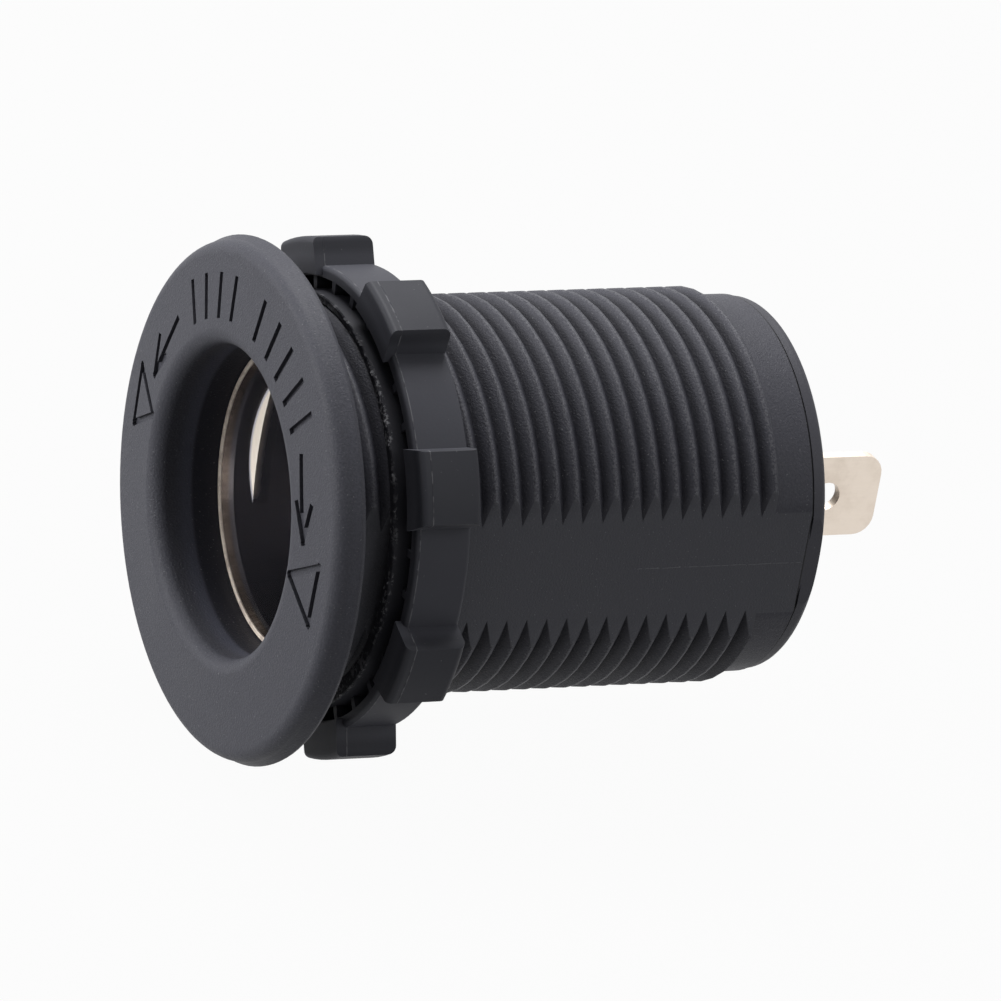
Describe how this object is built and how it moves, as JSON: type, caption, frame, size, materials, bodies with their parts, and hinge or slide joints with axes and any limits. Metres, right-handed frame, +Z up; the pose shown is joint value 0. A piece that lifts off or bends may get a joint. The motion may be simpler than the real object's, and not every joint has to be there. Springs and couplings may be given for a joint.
{
  "type": "car 12V power socket",
  "caption": "Panel-mount 12 V car power socket: round charcoal bezel, threaded barrel with side flats, lugged plastic nut, nickel contact shell and rear blade terminals.",
  "frame": {"origin": "centre of the flange's back face, which seats on the panel", "axes": "+Y along the barrel, away from the mouth; +Z up; the barrel's two flats face +X and -X"},
  "size_m": [0.038, 0.0515, 0.0378],
  "materials": {
    "housing_plastic": "matte charcoal, fine moulded grain on the flange, slightly glossy thread crests",
    "nut_plastic": "satin, slightly bluish dark grey",
    "cap_plastic": "matte",
    "shell_nickel": "warm nickel plate, drawn along the bore",
    "contact_nickel": "nickel plate",
    "rivet_brass": "bright",
    "fibre": "pale fibre board",
    "terminal_nickel": "matte beige nickel plate",
    "washer_steel": "plain",
    "rivet_steel": "nickel plate"
  },
  "bodies": {
    "socket": {"housing": "housing_plastic", "contact_shell": "shell_nickel", "front_insulator": "fibre", "centre_contact": "contact_nickel", "centre_rivet": "rivet_brass", "rear_insulator": "fibre", "positive_terminal": "terminal_nickel", "negative_terminal": "terminal_nickel", "negative_rivet": "rivet_steel", "rear_cap": "cap_plastic"},
    "carrier": {"rivet_washer": "washer_steel"},
    "nut": {"mounting_nut": "nut_plastic"}
  },
  "joints": [
    {"name": "nut_turn", "type": "hinge", "parent": "socket", "child": "carrier", "pos_m": [0, 0.0066, 0], "axis": [0, 1, 0], "range_deg": [-793, 5804]},
    {"name": "nut_travel", "type": "slide", "parent": "carrier", "child": "nut", "axis": [0, 1, 0], "range_m": [-0.0035, 0.0256]}
  ],
  "couplings": [
    {"joint": "nut_travel", "follows": "nut_turn", "m_per_rad": 0.00025266}
  ]
}
